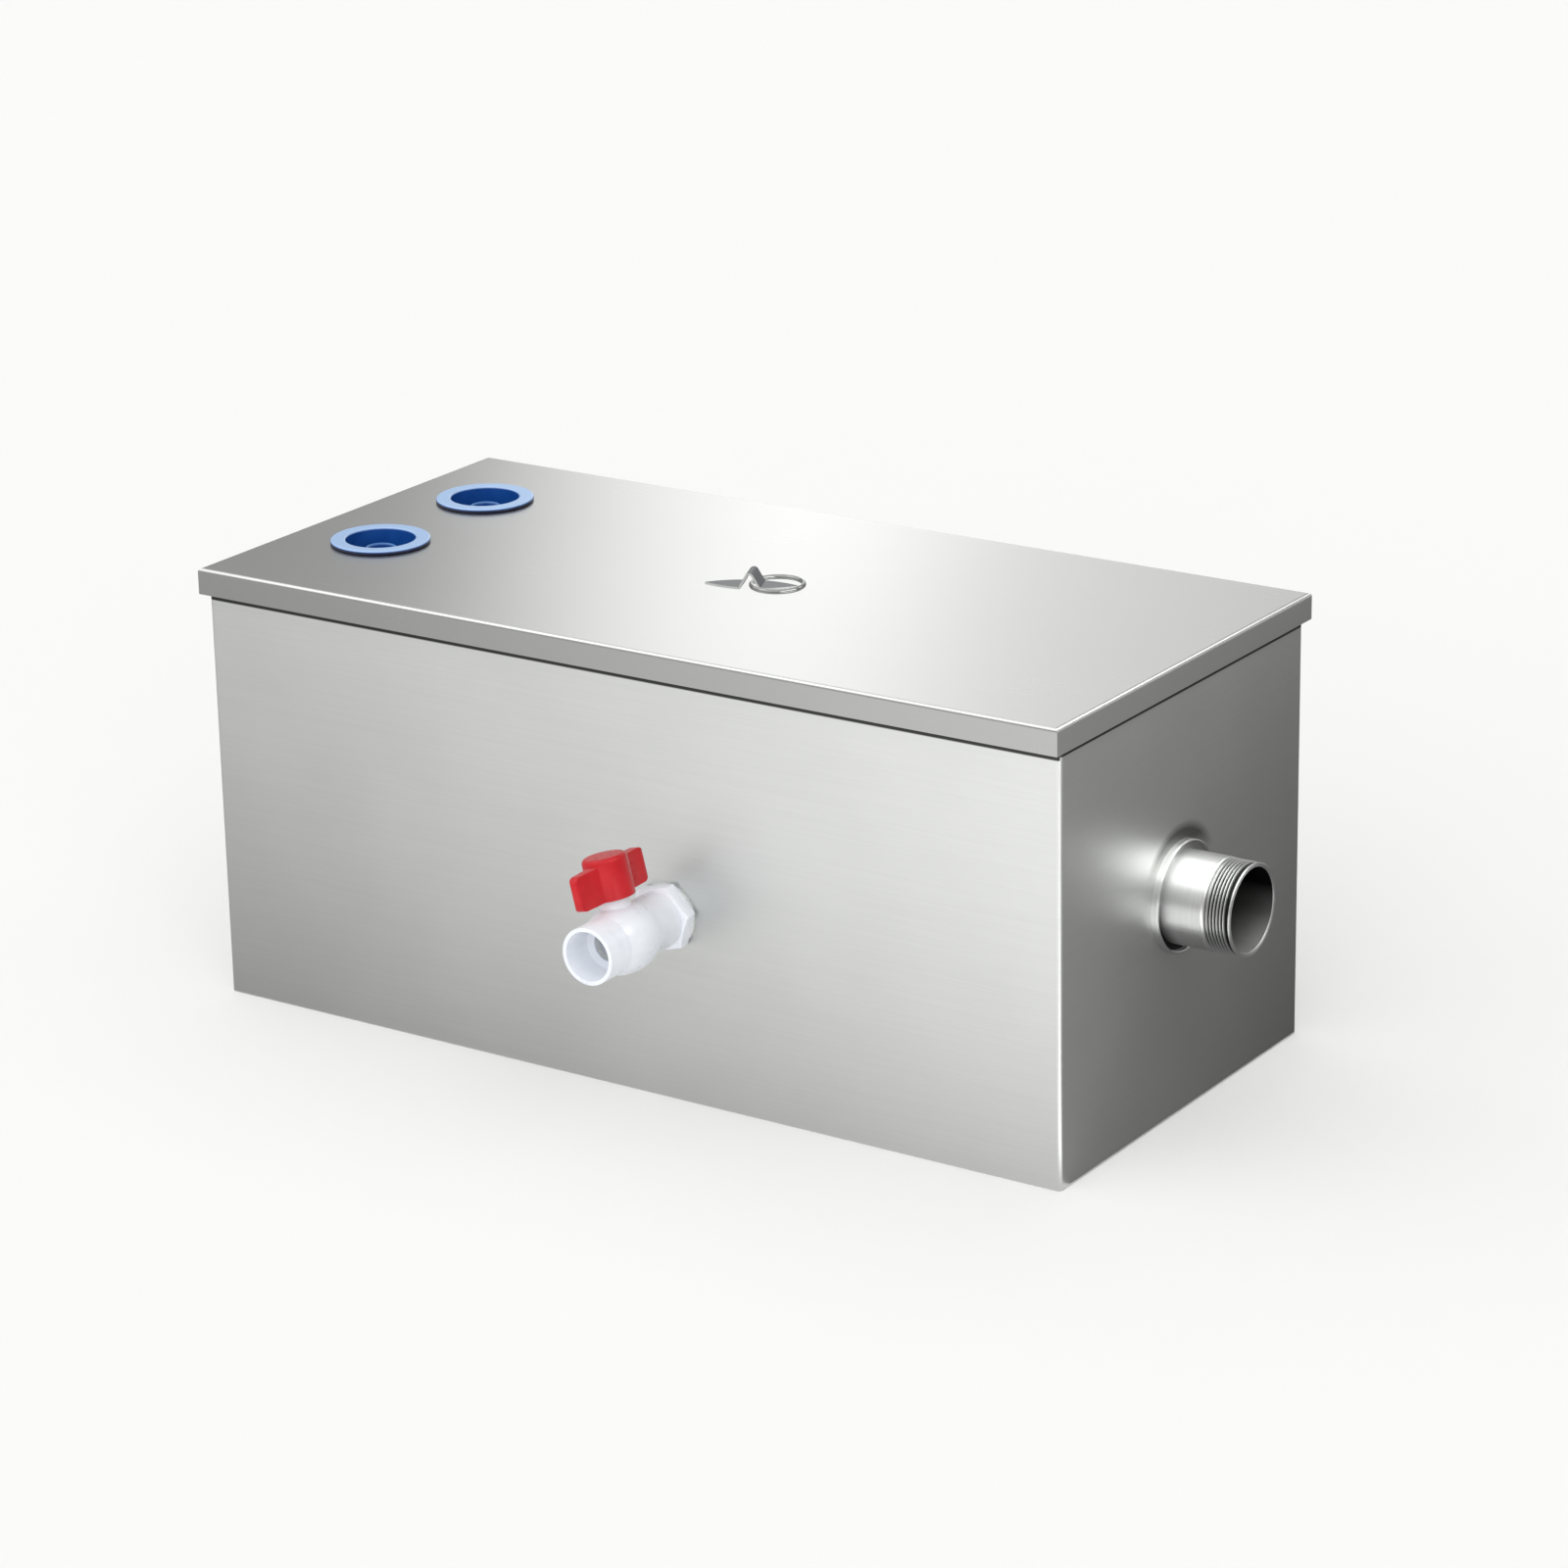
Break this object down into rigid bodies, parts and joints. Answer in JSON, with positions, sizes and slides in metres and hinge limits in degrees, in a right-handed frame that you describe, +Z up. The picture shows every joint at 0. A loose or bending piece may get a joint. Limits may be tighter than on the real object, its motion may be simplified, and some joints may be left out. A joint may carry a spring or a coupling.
{
  "type": "grease trap",
  "caption": "Box-shaped stainless grease trap with a lift-off lid, rubber inlets in the lid, a draw-off ball valve in front and a threaded outlet.",
  "frame": {"origin": "on the floor, under the middle of the tank", "axes": "+X along the tank towards the outlet, +Y from the valve's side to the back, +Z up"},
  "size_m": [0.7032, 0.3975, 0.3102],
  "materials": {
    "stainless": "satin sheet",
    "blue_rubber": "satin moulded",
    "seal_rubber": "matt foam",
    "clear_silicone": "pressed sheet",
    "white_pvc": "moulded",
    "ptfe": "turned",
    "red_plastic": "moulded"
  },
  "bodies": {
    "trap": {"tank": "stainless", "lid": "stainless", "lid_seal": "seal_rubber", "inlet_bush_front": "blue_rubber", "inlet_bush_rear": "blue_rubber", "pull_strap": "stainless", "drain_adapter": "white_pvc", "drain_gasket_outer": "clear_silicone", "drain_gasket_inner": "clear_silicone", "drain_locknut": "white_pvc", "valve_body": "white_pvc", "valve_carrier": "white_pvc", "valve_seat_inner": "ptfe", "valve_seat_outer": "ptfe", "outlet_nipple": "stainless", "outlet_collar": "stainless", "outlet_elbow": "stainless", "baffle_first": "stainless", "baffle_second": "stainless", "guides_first": "stainless", "guides_second": "stainless", "basket_rails": "stainless", "basket_rim": "stainless", "basket_sides": "stainless", "basket_floor": "stainless", "basket_handles": "stainless"},
    "ring": {"pull_ring": "stainless"},
    "valve_core": {"valve_handle": "red_plastic", "valve_stem": "white_pvc", "valve_ball": "white_pvc", "stem_o_rings": "seal_rubber"}
  },
  "joints": [
    {"name": "ring_lift", "type": "hinge", "parent": "trap", "child": "ring", "pos_m": [0.01, -0.0086, 0.30112], "axis": [0.3746, -0.9272, 0], "range_deg": [0, 180]},
    {"name": "valve_turn", "type": "hinge", "parent": "trap", "child": "valve_core", "pos_m": [0.038, -0.2005, 0.125], "axis": [-0.2419, 0, 0.9703], "range_deg": [-90, 0]}
  ]
}
